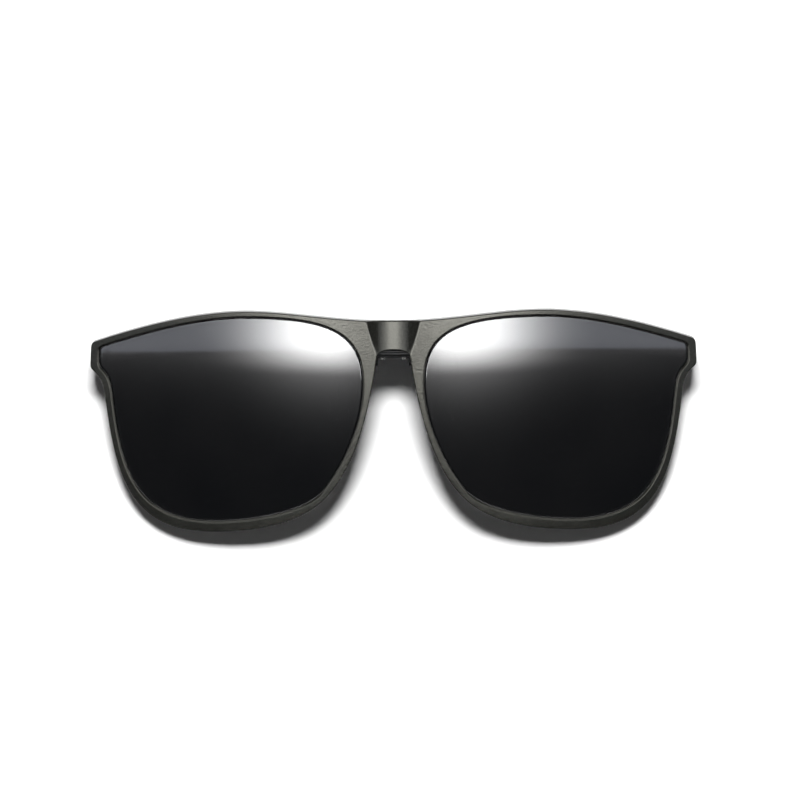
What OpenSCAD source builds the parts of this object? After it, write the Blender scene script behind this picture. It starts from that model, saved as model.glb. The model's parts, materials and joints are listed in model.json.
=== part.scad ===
// Clip-on flip-up sun lenses: a one-piece plastic front with two polarised
// lenses, hinged at the bridge to a sprung wire clip that grips spectacles.
//
// The object lies on its back on the plane z = 0. It is drawn in the worn
// frame first (x = width, y = up, z = forwards, z = 0 on the face of the
// bridge) and lie() then tips it back onto its thumb pad and lower rims.

/* [Front] */
// Radius of the face, curved about a vertical line behind the wearer
face_r = 500; // [400:10:700]
// Depth of the rims from face to back
frame_depth = 3.2; // [3:0.1:3.6]
// Radius of the hollow scooped out of the bridge's face
scoop_r = 12; // [11:0.5:14]
// Half the width of the scoop at its upper end
scoop_top_half = 6.4; // [6:0.1:6.8]
// Half the width of the scoop at its lower end
scoop_low_half = 3.85; // [3.6:0.05:4.1]
// Angle between the face and the table when the object lies on its back
rest_tilt = 9; // [8.5:0.5:9.5]

/* [Lenses] */
// Thickness of a polarised lens
lens_t = 1.1; // [0.8:0.1:1.2]
// How far the lens lies behind the face of the rim
lens_recess = 0.9; // [0.6:0.1:1.1]
// How far the lens edge reaches into its groove
groove_bite = 0.6; // [0.4:0.1:0.7]
// Free space between the lens and its groove
lens_play = 0.05; // [0.03:0.01:0.08]

/* [Flip hinge] */
// Radius of both hinge pins
pin_r = 0.6; // [0.5:0.05:0.6]
// Radial running clearance of a pin in the part that turns on it
pin_play = 0.05; // [0.03:0.01:0.08]
// Height of the flip pin on the bridge
flip_y = 21; // [20.8:0.1:21.2]
// Thickness of the stamped steel
sheet_t = 0.8; // [0.7:0.05:0.8]

/* [Clip] */
// Height of the jaw pin
jaw_y = 14.8; // [14.6:0.1:14.9]
// Distance of the jaw pin behind the face of the bridge
jaw_back = 7.8; // [7.7:0.1:8]
// Distance of each outer, front prong from the middle
front_prong_x = 14.5; // [13.5:0.5:15]
// Distance of each inner, rear prong from the middle
rear_prong_x = 10; // [9.5:0.5:10.5]
// Height of the lower end of the prongs
prong_low_y = -1; // [-2:0.5:1]
// Radius of the prong wire
wire_r = 0.5; // [0.4:0.05:0.5]
// Outer radius of a silicone sleeve
sleeve_r = 1.1; // [1:0.05:1.2]

/* [Thumb pad] */
// Height of the upper end of the rear lever
lever_top_y = 20.6; // [20:0.1:20.8]
// Thickness of the rubber pad on the lever
pad_t = 1.2; // [1:0.1:1.3]
// Number of grip ribs across the pad
ribs = 5; // [4:1:6]

/* [Hidden] */

plastic_col = "#3b3c38";
lens_col = "#26282b";
steel_col = "#1b1b1c";
silicone_col = "#dfe3e4";
rubber_col = "#151516";

// Outline of one half of the front, as Bezier curves [start, handle, handle, end]
// in millimetres, from the middle of the bridge's top edge round to its lower edge.
OUTER = [
    [[0, 23.9], [14, 23.9], [24, 26.3], [35, 26.3]],           // brow over the bridge
    [[35, 26.3], [47, 26.3], [60, 22.8], [71.4, 18.9]],          // brow out to the tip
    [[71.4, 18.9], [72, 18.7], [72.3, 18.3], [72.4, 17.6]],    // upper corner of the tip
    [[72.4, 17.6], [72.5, 16.2], [72.6, 14.6], [72.6, 13]],    // end of the tip
    [[72.6, 13], [72.6, 12.2], [71.9, 11.8], [71.3, 11.2]],    // lower corner of the tip
    [[71.3, 11.2], [70, 10], [69.4, 8.4], [69.2, 5.5]],        // hollow under the tip
    [[69.2, 5.5], [67, -15], [63, -27], [44, -27]],            // side and lower outer corner
    [[44, -27], [34, -27], [22, -25.3], [15.6, -17.8]],        // lower edge
    [[15.6, -17.8], [8.3, -9.5], [5.4, 4.9], [3.9, 15.7]],     // nose side
    [[3.9, 15.7], [3, 16.8], [1.5, 17], [0, 17]]               // arch under the bridge
];

// Opening of one rim, on the same plan, starting at the top and going outwards.
OPENING = [
    [[35, 24.9], [46, 24.9], [58, 21.6], [69.3, 17.9]],        // under the brow
    [[69.3, 17.9], [70, 17.7], [70.4, 17.3], [70.4, 16.7]],    // upper corner of the tip
    [[70.4, 16.7], [70.5, 15.6], [70.5, 14.5], [70.5, 13.7]],  // end of the tip
    [[70.5, 13.7], [70.5, 12.8], [69.8, 12.2], [69.2, 11.5]],  // lower corner of the tip
    [[69.2, 11.5], [68.1, 10.2], [67.6, 8.3], [67.4, 5.5]],    // hollow under the tip
    [[67.4, 5.5], [65.7, -12.5], [62.3, -24.5], [43.5, -24.5]], // side and lower outer corner
    [[43.5, -24.5], [35, -24.5], [21.5, -22.4], [17.2, -17.2]], // lower edge
    [[17.2, -17.2], [12.5, -11.5], [7.3, -1], [7.3, 8.8]],     // nose side
    [[7.3, 8.8], [7.3, 21], [14.5, 24.9], [35, 24.9]]          // up to the brow
];

// Steps along a curve, by the length of the line from its start to its end
function steps(c) = max(2, ceil(norm(c[3] - c[0]) / 3.5));
function bezier(c, t) = pow(1 - t, 3) * c[0] + 3 * pow(1 - t, 2) * t * c[1]
    + 3 * (1 - t) * t * t * c[2] + pow(t, 3) * c[3];
// Points along a chain of curves, without the last end point
function along(chain) = [for (c = chain) for (i = [0 : steps(c) - 1]) bezier(c, i / steps(c))];

// A closed ring of points moved outwards by d, along the mean normal at each point
function unit(v) = v / norm(v);
function ring_offset(p, d) = [
    for (i = [0 : len(p) - 1])
        let (a = unit(p[i] - p[(i + len(p) - 1) % len(p)]))
        let (b = unit(p[(i + 1) % len(p)] - p[i]))
        let (n = unit([-a.y - b.y, a.x + b.x]))
        p[i] + n * d
];

half_outline = along(OUTER);
arch_mid = [0, 17];
bridge_top = 23.9;
bridge_low = 15.8;
outline = concat(half_outline, [arch_mid],
    [for (i = [len(half_outline) - 1 : -1 : 1]) [-half_outline[i].x, half_outline[i].y]]);
opening = along(OPENING);

// Distance of a surface behind the face of the bridge, at x, for a depth d
function behind(x, d) = sqrt(pow(face_r - d, 2) - x * x) - face_r;
// Heights of the rear edge of the rims over the bridge's face, when tipped back
edge_heights = [for (p = half_outline)
    p.y * sin(rest_tilt) + behind(p.x, frame_depth) * cos(rest_tilt)];
// Height of the bridge's face, at the worn frame's origin, above the table
lift = -min(edge_heights);
// Centre of the whole object along the table
span_top = max([for (p = half_outline)
    p.y * cos(rest_tilt) - behind(p.x, frame_depth) * sin(rest_tilt)]);
span_low = min([for (p = half_outline) p.y * cos(rest_tilt) - behind(p.x, 0) * sin(rest_tilt)]);
centre_y = (span_top + span_low) / 2;

// From the worn frame to the object lying on its back
module lie() {
    translate([0, -centre_y, lift])
        rotate([rest_tilt, 0, 0])
            children();
}

// Places its children level with the table although they are drawn in the worn
// frame: z is measured up from the table, and y along the table from the jaw pin.
pin_up = jaw_y * sin(rest_tilt) - jaw_back * cos(rest_tilt) + lift;
module level_at_jaw() {
    translate([0, jaw_y, -jaw_back])
        rotate([-rest_tilt, 0, 0])
            translate([0, 0, -pin_up])
                children();
}

// Everything between two depths behind the curved face
module face_shell(front_d, back_d) {
    translate([0, 0, -face_r])
        rotate([90, 0, 0])
            difference() {
                cylinder(h = 80, r = face_r - front_d, center = true, $fn = 200);
                cylinder(h = 82, r = face_r - back_d, center = true, $fn = 200);
            }
}

// A prism of an outline, deep enough to cross the curved front
module through(points) {
    translate([0, 0, -20])
        linear_extrude(24)
            polygon(points);
}

// A prism along x, centred on x = 0, with its profile drawn in y and z
module along_x(width, points) {
    rotate([90, 0, 90])
        linear_extrude(width, center = true)
            polygon(points);
}

// A round bar along x, centred on x = mid
module bar_x(mid, width, r) {
    translate([mid, 0, 0])
        rotate([0, 90, 0])
            cylinder(h = width, r = r, center = true, $fn = 48);
}

// Both ends of something symmetric
module both() {
    children();
    mirror([1, 0, 0]) children();
}

// Flip hinge: places, all in the worn frame
flip_back = 5.9;
module at_flip() translate([0, flip_y, -flip_back]) children();
module at_jaw() translate([0, jaw_y, -jaw_back]) children();

plate_half = 4.6;             // half the width of the hinge bracket
pocket_d = 0.15;              // depth of the flat seat milled in the bridge's back
seat_sag = 0.02;              // how far the curved back drops over half the seat
seat_z = -frame_depth - seat_sag + pocket_d;
plate_low = 17.7;
plate_high = 23;
screw_x = 2.4;
screw_y = 18.9;
screw_r = 0.55;
screw_head_r = 0.95;
screw_head_t = 0.5;
screw_bite = 1.4;
knuckle_r = 1.35;
knuckle_half = 3.5;
bracket_ear_r = 1.6;
head_r = 0.95;                // rivet heads of both pins
head_t = 0.35;

// --- Front ---------------------------------------------------------------

// Hollow across the bridge: a round cutter, tipped so that it is wider at the top
module bridge_scoop() {
    top_up = sqrt(pow(scoop_r, 2) - pow(scoop_top_half, 2));
    low_up = sqrt(pow(scoop_r, 2) - pow(scoop_low_half, 2));
    tip = asin((low_up - top_up) / (bridge_top - bridge_low));
    translate([0, bridge_low, low_up / cos(tip)])
        rotate([-tip, 0, 0])
            rotate([-90, 0, 0])
                translate([0, 0, -10])
                    cylinder(h = 30, r = scoop_r, $fn = 200);
}

module front_frame() {
    color(plastic_col)
        lie()
            difference() {
                intersection() {
                    through(outline);
                    face_shell(0, frame_depth);
                }
                both() through(opening);
                both() intersection() {
                    through(ring_offset(opening, groove_bite));
                    face_shell(lens_recess - lens_play, lens_recess + lens_t + lens_play);
                }
                bridge_scoop();
                // Flat seat for the hinge bracket, with two screw holes
                translate([-plate_half - 0.1, plate_low - 0.1, -frame_depth - 1])
                    cube([2 * plate_half + 0.2, plate_high - plate_low + 0.2, 1 - seat_sag + pocket_d]);
                both() translate([screw_x, screw_y, seat_z - 1])
                    cylinder(h = 1 + screw_bite, r = screw_r, $fn = 32);
            }
}

// One lens, on the side x > 0; its edge sits in the groove of the rim
module lens() {
    color(lens_col)
        intersection() {
            through(ring_offset(opening, groove_bite - lens_play));
            face_shell(lens_recess, lens_recess + lens_t);
        }
}

module lens_left() {
    lie() lens();
}

module lens_right() {
    lie() mirror([1, 0, 0]) lens();
}

// Folded steel bracket on the back of the bridge: a plate with two ears
module hinge_bracket() {
    ear_mid = plate_half - sheet_t / 2;
    color(steel_col)
        lie()
            difference() {
                union() {
                    translate([-plate_half, plate_low, seat_z - sheet_t])
                        cube([2 * plate_half, plate_high - plate_low, sheet_t]);
                    both() {
                        at_flip() bar_x(ear_mid, sheet_t, bracket_ear_r);
                        translate([plate_half - sheet_t, flip_y - bracket_ear_r, -flip_back])
                            cube([sheet_t, 2 * bracket_ear_r, flip_back + seat_z - sheet_t / 2]);
                    }
                }
                at_flip() bar_x(0, 12, pin_r);
                both() translate([screw_x, screw_y, seat_z - 2])
                    cylinder(h = 3, r = screw_r, $fn = 32);
            }
}

// Two small screws with slotted heads, from behind into the bridge
module bracket_screws() {
    slot_w = 0.3;
    slot_d = 0.25;
    color(steel_col)
        lie() both()
            translate([screw_x, screw_y, seat_z - sheet_t - screw_head_t])
                difference() {
                    union() {
                        cylinder(h = screw_head_t, r = screw_head_r, $fn = 32);
                        cylinder(h = screw_head_t + sheet_t + screw_bite, r = screw_r, $fn = 32);
                    }
                    translate([-2, -slot_w / 2, -1])
                        cube([4, slot_w, 1 + slot_d]);
                }
}

module flip_pin() {
    color(steel_col)
        lie() at_flip() {
            bar_x(0, 2 * (plate_half + head_t), pin_r);
            both() bar_x(plate_half + head_t / 2, head_t, head_r);
        }
}

// --- Clip body -------------------------------------------------------------

clip_half = 4.5;              // half the width over the clip body's ears
clip_plate_z = -flip_back - knuckle_r;   // rear face of the clip body's plate
wide_top = 18.9;              // the plate is full width below this height
curl_y = 15.5;                // rolled lower edge that holds the front wires
curl_z = -5.3;
curl_r = 0.9;
clip_plate_low = curl_y + 0.7;  // clear of the spring's coils
fold_t = 0.8;                 // the sheet's width across the fold down to the rolled edge
clip_ear_r = 1.5;
ear_tab = 2.6;                // how far the ears hang below the jaw pin
bore_r = pin_r + pin_play;
rivet_r = 0.5;
rivet_y = 18.1;

// One ear, drawn in y and z: from the plate down past the jaw pin
CLIP_EAR = [
    [wide_top, clip_plate_z], [wide_top, clip_plate_z + sheet_t],
    [jaw_y + 1, -jaw_back + clip_ear_r], [jaw_y - ear_tab, -jaw_back + 0.9],
    [jaw_y - ear_tab, -jaw_back - 0.9], [jaw_y, -jaw_back - clip_ear_r + 0.05],
    [wide_top - 1.5, clip_plate_z]
];

module clip_body() {
    color(steel_col)
        lie()
            difference() {
                union() {
                    at_flip() bar_x(0, 2 * knuckle_half, knuckle_r);
                    translate([-knuckle_half, wide_top - 1, clip_plate_z])
                        cube([2 * knuckle_half, flip_y - wide_top + 1, sheet_t]);
                    translate([-clip_half, clip_plate_low, clip_plate_z])
                        cube([2 * clip_half, wide_top - clip_plate_low, sheet_t]);
                    translate([0, curl_y, curl_z]) bar_x(0, 2 * clip_half, curl_r);
                    // Fold from the plate forward to the rolled edge
                    along_x(2 * clip_half, [[clip_plate_low, clip_plate_z + 0.1],
                        [clip_plate_low + fold_t, clip_plate_z + 0.1],
                        [curl_y + curl_r - 0.05, curl_z], [curl_y + 0.1, curl_z]]);
                    both() {
                        at_jaw() bar_x(clip_half - sheet_t / 2, sheet_t, clip_ear_r);
                        translate([clip_half - sheet_t / 2, 0, 0]) along_x(sheet_t, CLIP_EAR);
                    }
                }
                at_flip() bar_x(0, 12, bore_r);
                at_jaw() bar_x(0, 12, pin_r);
                translate([0, curl_y, curl_z]) bar_x(0, 12, wire_r);
                translate([0, rivet_y, clip_plate_z - 1])
                    cylinder(h = 3, r = rivet_r, $fn = 32);
            }
}

// Flat spring on the back of the clip body: two fingers bear on the bracket's ears
leaf_t = 0.25;
leaf_finger_w = 0.9;
leaf_low = rivet_y - 0.65;
leaf_high = rivet_y + 0.75;
leaf_z = -flip_back - bracket_ear_r - 0.02;
leaf_top = flip_y + 0.8;
finger_bend = flip_y - 1.2;
module detent_leaf() {
    color(steel_col)
        lie()
            difference() {
                union() {
                    translate([-clip_half, leaf_low, clip_plate_z - leaf_t])
                        cube([2 * clip_half, leaf_high - leaf_low, leaf_t]);
                    both()
                        translate([plate_half - 0.05 - leaf_finger_w / 2, 0, 0])
                            along_x(leaf_finger_w, [
                                [leaf_low + 0.5, clip_plate_z - leaf_t],
                                [leaf_high, clip_plate_z - leaf_t],
                                [finger_bend, leaf_z - leaf_t], [leaf_top, leaf_z - leaf_t],
                                [leaf_top, leaf_z], [finger_bend, leaf_z],
                                [leaf_high, clip_plate_z], [leaf_low + 0.5, clip_plate_z]]);
                }
                translate([0, rivet_y, clip_plate_z - 1])
                    cylinder(h = 3, r = rivet_r, $fn = 32);
            }
}

module leaf_rivet() {
    rivet_head_r = 0.8;
    rivet_head_t = 0.3;
    shank = leaf_t + sheet_t;
    color(steel_col)
        lie()
            translate([0, rivet_y, clip_plate_z - leaf_t]) {
                translate([0, 0, -rivet_head_t])
                    cylinder(h = rivet_head_t, r = rivet_head_r, $fn = 32);
                cylinder(h = shank, r = rivet_r, $fn = 32);
                translate([0, 0, shank])
                    cylinder(h = rivet_head_t, r = rivet_head_r, $fn = 32);
            }
}

lever_half = 5.4;             // half the width over the rear lever's ears
lever_t = 0.7;
module jaw_pin() {
    color(steel_col)
        lie() at_jaw() {
            bar_x(0, 2 * (lever_half + 0.1 + head_t), pin_r);
            both() bar_x(lever_half + 0.1 + head_t / 2, head_t, head_r);
        }
}

// A straight round rod between two points
module rod(a, b, r) {
    v = b - a;
    translate(a)
        rotate([0, acos(v.z / norm(v)), atan2(v.y, v.x)])
            cylinder(h = norm(v), r = r, $fn = 24);
}

// Double torsion spring: two coils on the jaw pin, outer legs on the clip body
// and a middle loop on the lever; the coils are drawn as tubes
coil_in = 1.9;
coil_out = 3.4;
coil_r = 1.25;
coil_play = 0.2;
spring_wire_r = 0.19;
spring_gap = 0.03;
leg_z = clip_plate_z + jaw_back - spring_wire_r - spring_gap;
leg_top = 2.2;
loop_y = 2.9;
loop_z = -pin_up + pad_t + lever_t + spring_wire_r + 0.55;
module jaw_spring() {
    color(steel_col)
        lie() at_jaw()
            difference() {
                union() {
                    both() {
                        bar_x((coil_in + coil_out) / 2, coil_out - coil_in, coil_r);
                        rod([coil_out - spring_wire_r, 1, leg_z], [coil_out - spring_wire_r, leg_top, leg_z],
                            spring_wire_r);
                        rod([coil_in + spring_wire_r, 0.7, -0.7], [coil_in + spring_wire_r, loop_y, loop_z],
                            spring_wire_r);
                    }
                    translate([0, loop_y, loop_z])
                        bar_x(0, 2 * coil_in + 4 * spring_wire_r, spring_wire_r);
                }
                bar_x(0, 12, pin_r + coil_play);
            }
}

// --- Prongs ----------------------------------------------------------------

// A bent wire in one plane: straight out from near the middle along x, round
// one bend and straight down by drop; reach is the prong's distance along x
bend_r = 1;
wire_gap = 0.2;
module prong_wire(reach, drop) {
    bar_x((wire_gap + reach - bend_r) / 2, reach - bend_r - wire_gap, wire_r);
    translate([reach - bend_r, -bend_r, 0])
        rotate_extrude(angle = 90, $fn = 64)
            translate([bend_r, 0])
                circle(r = wire_r, $fn = 32);
    translate([reach, -drop, 0])
        rotate([-90, 0, 0])
            cylinder(h = drop - bend_r, r = wire_r, $fn = 32);
}

// A silicone sleeve over the end of such a wire, closed and rounded at its end
sleeve_over = 0.8;
sleeve_below_bend = 0.1;
module sleeve(reach, drop) {
    length = drop + sleeve_over - bend_r - sleeve_below_bend;
    translate([reach, -drop - sleeve_over, 0])
        difference() {
            union() {
                rotate([-90, 0, 0])
                    cylinder(h = length, r = sleeve_r, $fn = 48);
                sphere(r = sleeve_r, $fn = 48);
            }
            translate([0, sleeve_over, 0])
                rotate([-90, 0, 0])
                    cylinder(h = length, r = wire_r, $fn = 32);
        }
}

// Front prongs stand straight down, parallel to the face
front_drop = curl_y - prong_low_y - sleeve_over - sleeve_r;
module at_front_curl() translate([0, curl_y, curl_z]) children();

module front_arm() {
    color(steel_col)
        at_front_curl() prong_wire(front_prong_x, front_drop);
}
module front_arm_left() lie() front_arm();
module front_arm_right() lie() mirror([1, 0, 0]) front_arm();

module front_tip() {
    color(silicone_col)
        at_front_curl() sleeve(front_prong_x, front_drop);
}
module front_tip_left() lie() front_tip();
module front_tip_right() lie() mirror([1, 0, 0]) front_tip();

// Rear prongs lie level with the table, so they close on the front ones at the tips
rear_curl_y = 0.2;            // from the jaw pin, along the table
rear_curl_up = 2.15;          // above the table
rear_drop = front_drop - 0.5;
module at_rear_curl() level_at_jaw() translate([0, rear_curl_y, rear_curl_up]) children();

module rear_arm() {
    color(steel_col)
        at_rear_curl() prong_wire(rear_prong_x, rear_drop);
}
module rear_arm_left() lie() rear_arm();
module rear_arm_right() lie() mirror([1, 0, 0]) rear_arm();

module rear_tip() {
    color(silicone_col)
        at_rear_curl() sleeve(rear_prong_x, rear_drop);
}
module rear_tip_left() lie() rear_tip();
module rear_tip_right() lie() mirror([1, 0, 0]) rear_tip();

// --- Rear lever --------------------------------------------------------------

// Along the table from the jaw pin to the lever's upper end
lever_reach = (lever_top_y - jaw_y) / cos(rest_tilt);
ear_gap = 0.2;
lever_ear_t = lever_half - clip_half - ear_gap;
lever_ear_r = 1.4;
lever_foot = rear_curl_y;
module rear_lever() {
    color(steel_col)
        lie()
            difference() {
                union() {
                    level_at_jaw()
                        translate([-lever_half, lever_foot, pad_t])
                            cube([2 * lever_half, lever_reach - lever_foot, lever_t]);
                    at_rear_curl() bar_x(0, 2 * lever_half, curl_r);
                    both() {
                        at_jaw() bar_x(lever_half - lever_ear_t / 2, lever_ear_t, lever_ear_r);
                        translate([lever_half - lever_ear_t / 2, 0, 0])
                            level_at_jaw()
                                along_x(lever_ear_t, [[lever_ear_r + 0.6, pad_t + lever_t / 2],
                                    [lever_ear_r - 0.05, pin_up], [-lever_ear_r + 0.05, pin_up],
                                    [lever_foot - curl_r + 0.1, pad_t + lever_t / 2]]);
                    }
                }
                at_jaw() bar_x(0, 12, bore_r);
                at_rear_curl() bar_x(0, 12, wire_r);
            }
}

pad_half = 4.6;
pad_inset = 0.4;
rib_w = 0.5;
rib_d = 0.3;
module lever_pad() {
    pad_y0 = lever_foot - curl_r;
    pad_len = lever_reach - pad_inset - pad_y0;
    color(rubber_col)
        lie() level_at_jaw()
            difference() {
                translate([-pad_half, pad_y0, 0])
                    cube([2 * pad_half, pad_len, pad_t]);
                // Grooves between the grip ribs, on the side that the thumb presses
                for (i = [1 : ribs])
                    translate([-pad_half - 1, pad_y0 + pad_len * i / (ribs + 1) - rib_w / 2, -1])
                        cube([2 * pad_half + 2, rib_w, 1 + rib_d]);
            }
}

front_frame();
lens_right();
lens_left();
hinge_bracket();
bracket_screws();
flip_pin();
clip_body();
detent_leaf();
leaf_rivet();
jaw_pin();
jaw_spring();
front_arm_right();
front_arm_left();
front_tip_right();
front_tip_left();
rear_lever();
rear_arm_right();
rear_arm_left();
rear_tip_right();
rear_tip_left();
lever_pad();
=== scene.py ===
import json
import math

import bmesh
import bpy
from mathutils import Matrix, Vector, geometry


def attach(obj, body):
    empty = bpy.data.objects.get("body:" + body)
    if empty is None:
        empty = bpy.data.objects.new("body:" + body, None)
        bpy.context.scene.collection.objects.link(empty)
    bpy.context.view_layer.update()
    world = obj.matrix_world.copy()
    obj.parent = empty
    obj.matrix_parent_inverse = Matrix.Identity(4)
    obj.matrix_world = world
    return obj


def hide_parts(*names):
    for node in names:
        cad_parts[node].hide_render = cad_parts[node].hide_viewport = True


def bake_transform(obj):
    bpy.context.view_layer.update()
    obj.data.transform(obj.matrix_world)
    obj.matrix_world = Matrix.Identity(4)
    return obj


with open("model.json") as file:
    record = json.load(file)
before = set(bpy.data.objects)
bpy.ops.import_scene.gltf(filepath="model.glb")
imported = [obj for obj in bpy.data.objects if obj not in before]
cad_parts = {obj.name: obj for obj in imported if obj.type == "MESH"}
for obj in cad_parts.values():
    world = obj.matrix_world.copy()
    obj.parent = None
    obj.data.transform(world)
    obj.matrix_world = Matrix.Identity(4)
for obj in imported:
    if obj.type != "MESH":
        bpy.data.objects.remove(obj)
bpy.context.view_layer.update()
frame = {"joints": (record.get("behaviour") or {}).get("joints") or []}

# Frames. Pieces are drawn in millimetres, most of them as the lenses are worn:
# x = width, y = up, z = forwards, with z = 0 on the face of the bridge. WORN lays
# them on their back in the CAD frame. LEVEL is for the rear jaw, which lies level
# with the table: y along the table from the jaw pin, z up from the table.
MM = 0.001
REST_TILT = math.radians(9)
FLIP_AT = Vector((0, 21, -5.9))  # the flip pin, as worn
JAW_AT = Vector((0, 14.8, -7.8))  # the jaw pin, as worn

joint_at = {j["name"]: Vector(j["pos_m"]) for j in frame["joints"]}
TO_METRES = Matrix.Scale(MM, 4)
WORN = (Matrix.Translation(joint_at["flip_hinge"]) @ Matrix.Rotation(REST_TILT, 4, "X")
        @ TO_METRES @ Matrix.Translation(-FLIP_AT))
LEVEL = Matrix.Translation((0, joint_at["jaw_pivot"].y, 0)) @ TO_METRES
PIN_UP = joint_at["jaw_pivot"].z / MM  # the jaw pin above the table

# ---- Mesh tools ----
SHARP = math.radians(35)  # edges sharper than this are shaded as edges
BEVEL_ABOVE = math.radians(30)  # edges sharper than this are rounded
CUT_REACH = 12  # cutters along x go this far out, past everything
KEEP_REACH = 6  # and the shapes that ears are kept inside
MARGIN = 0.5  # how far an outline stands out of the piece that it is cut from or joined to


class Shell:
    """Vertices and faces of one closed mesh, in millimetres."""

    def __init__(self):
        self.verts = []
        self.faces = []

    def ring(self, points):
        start = len(self.verts)
        self.verts += [tuple(p) for p in points]
        return list(range(start, len(self.verts)))

    def strip(self, a, b, closed=True):
        """Quads between two rings of equal length."""
        n = len(a)
        for i in range(n if closed else n - 1):
            j = (i + 1) % n
            self.faces.append((a[i], a[j], b[j], b[i]))

    def loft(self, rings):
        made = [self.ring(r) for r in rings]
        for a, b in zip(made, made[1:]):
            self.strip(a, b)
        return made

    def pole(self, ring, point):
        tip = self.ring([point])[0]
        for i, v in enumerate(ring):
            self.faces.append((v, ring[(i + 1) % len(ring)], tip))

    def fill(self, rim, holes, extra, lines, height):
        """Triangles between one outer loop and its holes, all given as vertex numbers,
        through extra points and lines of points; height(x, y) gives z to the new ones."""
        known = [v for loop in [rim] + holes for v in loop]
        flat = [Vector(self.verts[v][:2]) for v in known]
        edges = []
        start = 0
        for loop in [rim] + holes:
            edges += [(start + i, start + (i + 1) % len(loop)) for i in range(len(loop))]
            start += len(loop)
        flat += [Vector(p) for p in extra]
        for line in lines:
            first = len(flat)
            flat += [Vector(p) for p in line]
            edges += [(first + i, first + i + 1) for i in range(len(line) - 1)]
        found, _, tris, origin, _, _ = geometry.delaunay_2d_cdt(flat, edges, [], 0, 1e-5)
        number = []
        for p, sources in zip(found, origin):
            old = [s for s in sources if s < len(known)]
            if old:
                number.append(known[old[0]])
            else:
                number.append(self.ring([(p.x, p.y, height(p.x, p.y))])[0])
        outer = [self.verts[v][:2] for v in rim]
        inner = [[self.verts[v][:2] for v in h] for h in holes]
        for t in tris:
            mid = sum((found[v] for v in t), Vector((0, 0))) / len(t)
            if inside(mid, outer) and not any(inside(mid, h) for h in inner):
                self.faces.append(tuple(number[v] for v in t))


def inside(p, loop):
    """Whether a point lies in a closed loop, by counting crossings."""
    hit = False
    a = loop[-1]
    for b in loop:
        if (a[1] > p.y) != (b[1] > p.y):
            if p.x < (b[0] - a[0]) * (p.y - a[1]) / (b[1] - a[1]) + a[0]:
                hit = not hit
        a = b
    return hit


def to_object(name, shell):
    mesh = bpy.data.meshes.new(name)
    mesh.from_pydata(shell.verts, [], shell.faces)
    tidy = bmesh.new()
    tidy.from_mesh(mesh)
    loose = [v for v in tidy.verts if not v.link_faces]
    bmesh.ops.delete(tidy, geom=loose, context="VERTS")
    bmesh.ops.recalc_face_normals(tidy, faces=tidy.faces)
    tidy.to_mesh(mesh)
    tidy.free()
    obj = bpy.data.objects.new(name, mesh)
    bpy.context.scene.collection.objects.link(obj)
    return obj


def apply_modifiers(obj):
    bpy.context.view_layer.update()
    made = bpy.data.meshes.new_from_object(obj.evaluated_get(bpy.context.evaluated_depsgraph_get()))
    obj.modifiers.clear()
    obj.data = made


def combine(name, adds, cuts=(), keeps=(), bevel=0.0, segments=2):
    """One solid: the union of adds, less cuts, kept inside keeps, with its edges rounded."""
    obj = adds[0]
    obj.name = name
    steps = [(o, "UNION") for o in adds[1:]] + [(o, "INTERSECT") for o in keeps]
    steps += [(o, "DIFFERENCE") for o in cuts]
    for other, operation in steps:
        m = obj.modifiers.new(operation, "BOOLEAN")
        m.operation = operation
        m.solver = "EXACT"
        m.object = other
        apply_modifiers(obj)
        bpy.data.objects.remove(other)
    if bevel:
        m = obj.modifiers.new("edges", "BEVEL")
        m.width = bevel
        m.segments = segments
        m.limit_method = "ANGLE"
        m.angle_limit = BEVEL_ABOVE
        m.use_clamp_overlap = True
        apply_modifiers(obj)
    return obj


def piece(obj, body, material, nodes, place=WORN):
    """Puts a piece in its place, on its body, in the place of its CAD nodes."""
    obj.data.transform(place)
    obj.data.materials.clear()
    obj.data.materials.append(material)
    for p in obj.data.polygons:
        p.use_smooth = True
        p.material_index = 0
    obj.data.set_sharp_from_angle(angle=SHARP)
    if body:
        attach(obj, body)
    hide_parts(*nodes)
    return obj


def prism(name, points, axis, low, high):
    """A prism of a flat outline: its points are (y, z) along x, (x, z) along y, (x, y) along z."""
    spread = {"x": lambda u, v, w: (w, u, v), "y": lambda u, v, w: (u, w, v), "z": lambda u, v, w: (u, v, w)}
    shell = Shell()
    a = shell.ring([spread[axis](u, v, low) for u, v in points])
    b = shell.ring([spread[axis](u, v, high) for u, v in points])
    shell.strip(a, b)
    shell.faces.append(tuple(a))
    shell.faces.append(tuple(reversed(b)))
    return to_object(name, shell)


def arc(centre, r, start, end, count):
    """Points of an arc in a plane, from one angle to another in degrees, both included."""
    angles = [math.radians(start + (end - start) * i / count) for i in range(count + 1)]
    return [(centre[0] + r * math.cos(a), centre[1] + r * math.sin(a)) for a in angles]


def rounded(corners, radii, count=6):
    """A polygon with each corner rounded by its own radius."""
    made = []
    n = len(corners)
    for i in range(n):
        before, at, after = (Vector(corners[k % n]) for k in (i - 1, i, i + 1))
        r = radii[i] if isinstance(radii, (list, tuple)) else radii
        if r <= 0:
            made.append(tuple(at))
            continue
        a, b = (before - at).normalized(), (after - at).normalized()
        half = a.angle(b) / 2
        reach = r / math.tan(half)
        centre = at + (a + b).normalized() * (r / math.sin(half))
        start, end = at + a * reach, at + b * reach
        s, e = start - centre, end - centre
        turn = math.atan2(s.x * e.y - s.y * e.x, s.dot(e))
        for k in range(count + 1):
            t = turn * k / count
            made.append((centre.x + s.x * math.cos(t) - s.y * math.sin(t),
                         centre.y + s.x * math.sin(t) + s.y * math.cos(t)))
    return made


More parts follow.
